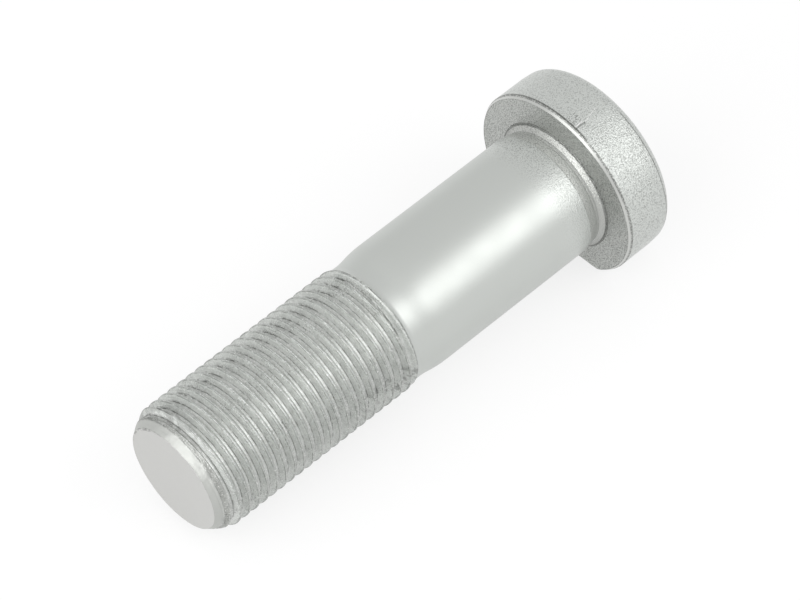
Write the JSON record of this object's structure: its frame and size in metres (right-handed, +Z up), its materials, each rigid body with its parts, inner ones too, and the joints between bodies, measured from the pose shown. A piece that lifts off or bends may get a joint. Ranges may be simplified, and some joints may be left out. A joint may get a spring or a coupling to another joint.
{
  "type": "wheel bolt",
  "caption": "Wheel bolt in one forged piece: thin round head with a flat on one side, undercut neck, plain shank and a chamfered fine-threaded end.",
  "frame": {"origin": "centre of the head's outer face, on the bolt's axis", "axes": "+X along the axis, from the threaded end to the head; +Z up, square to the flat on the head, on which the bolt lies"},
  "size_m": [0.074, 0.0268, 0.0241],
  "materials": {
    "zinc_flake": "matt silver-grey zinc flake coating on forged and rolled steel"
  },
  "bodies": {
    "root": {"wheel_bolt": "zinc_flake"}
  },
  "joints": []
}
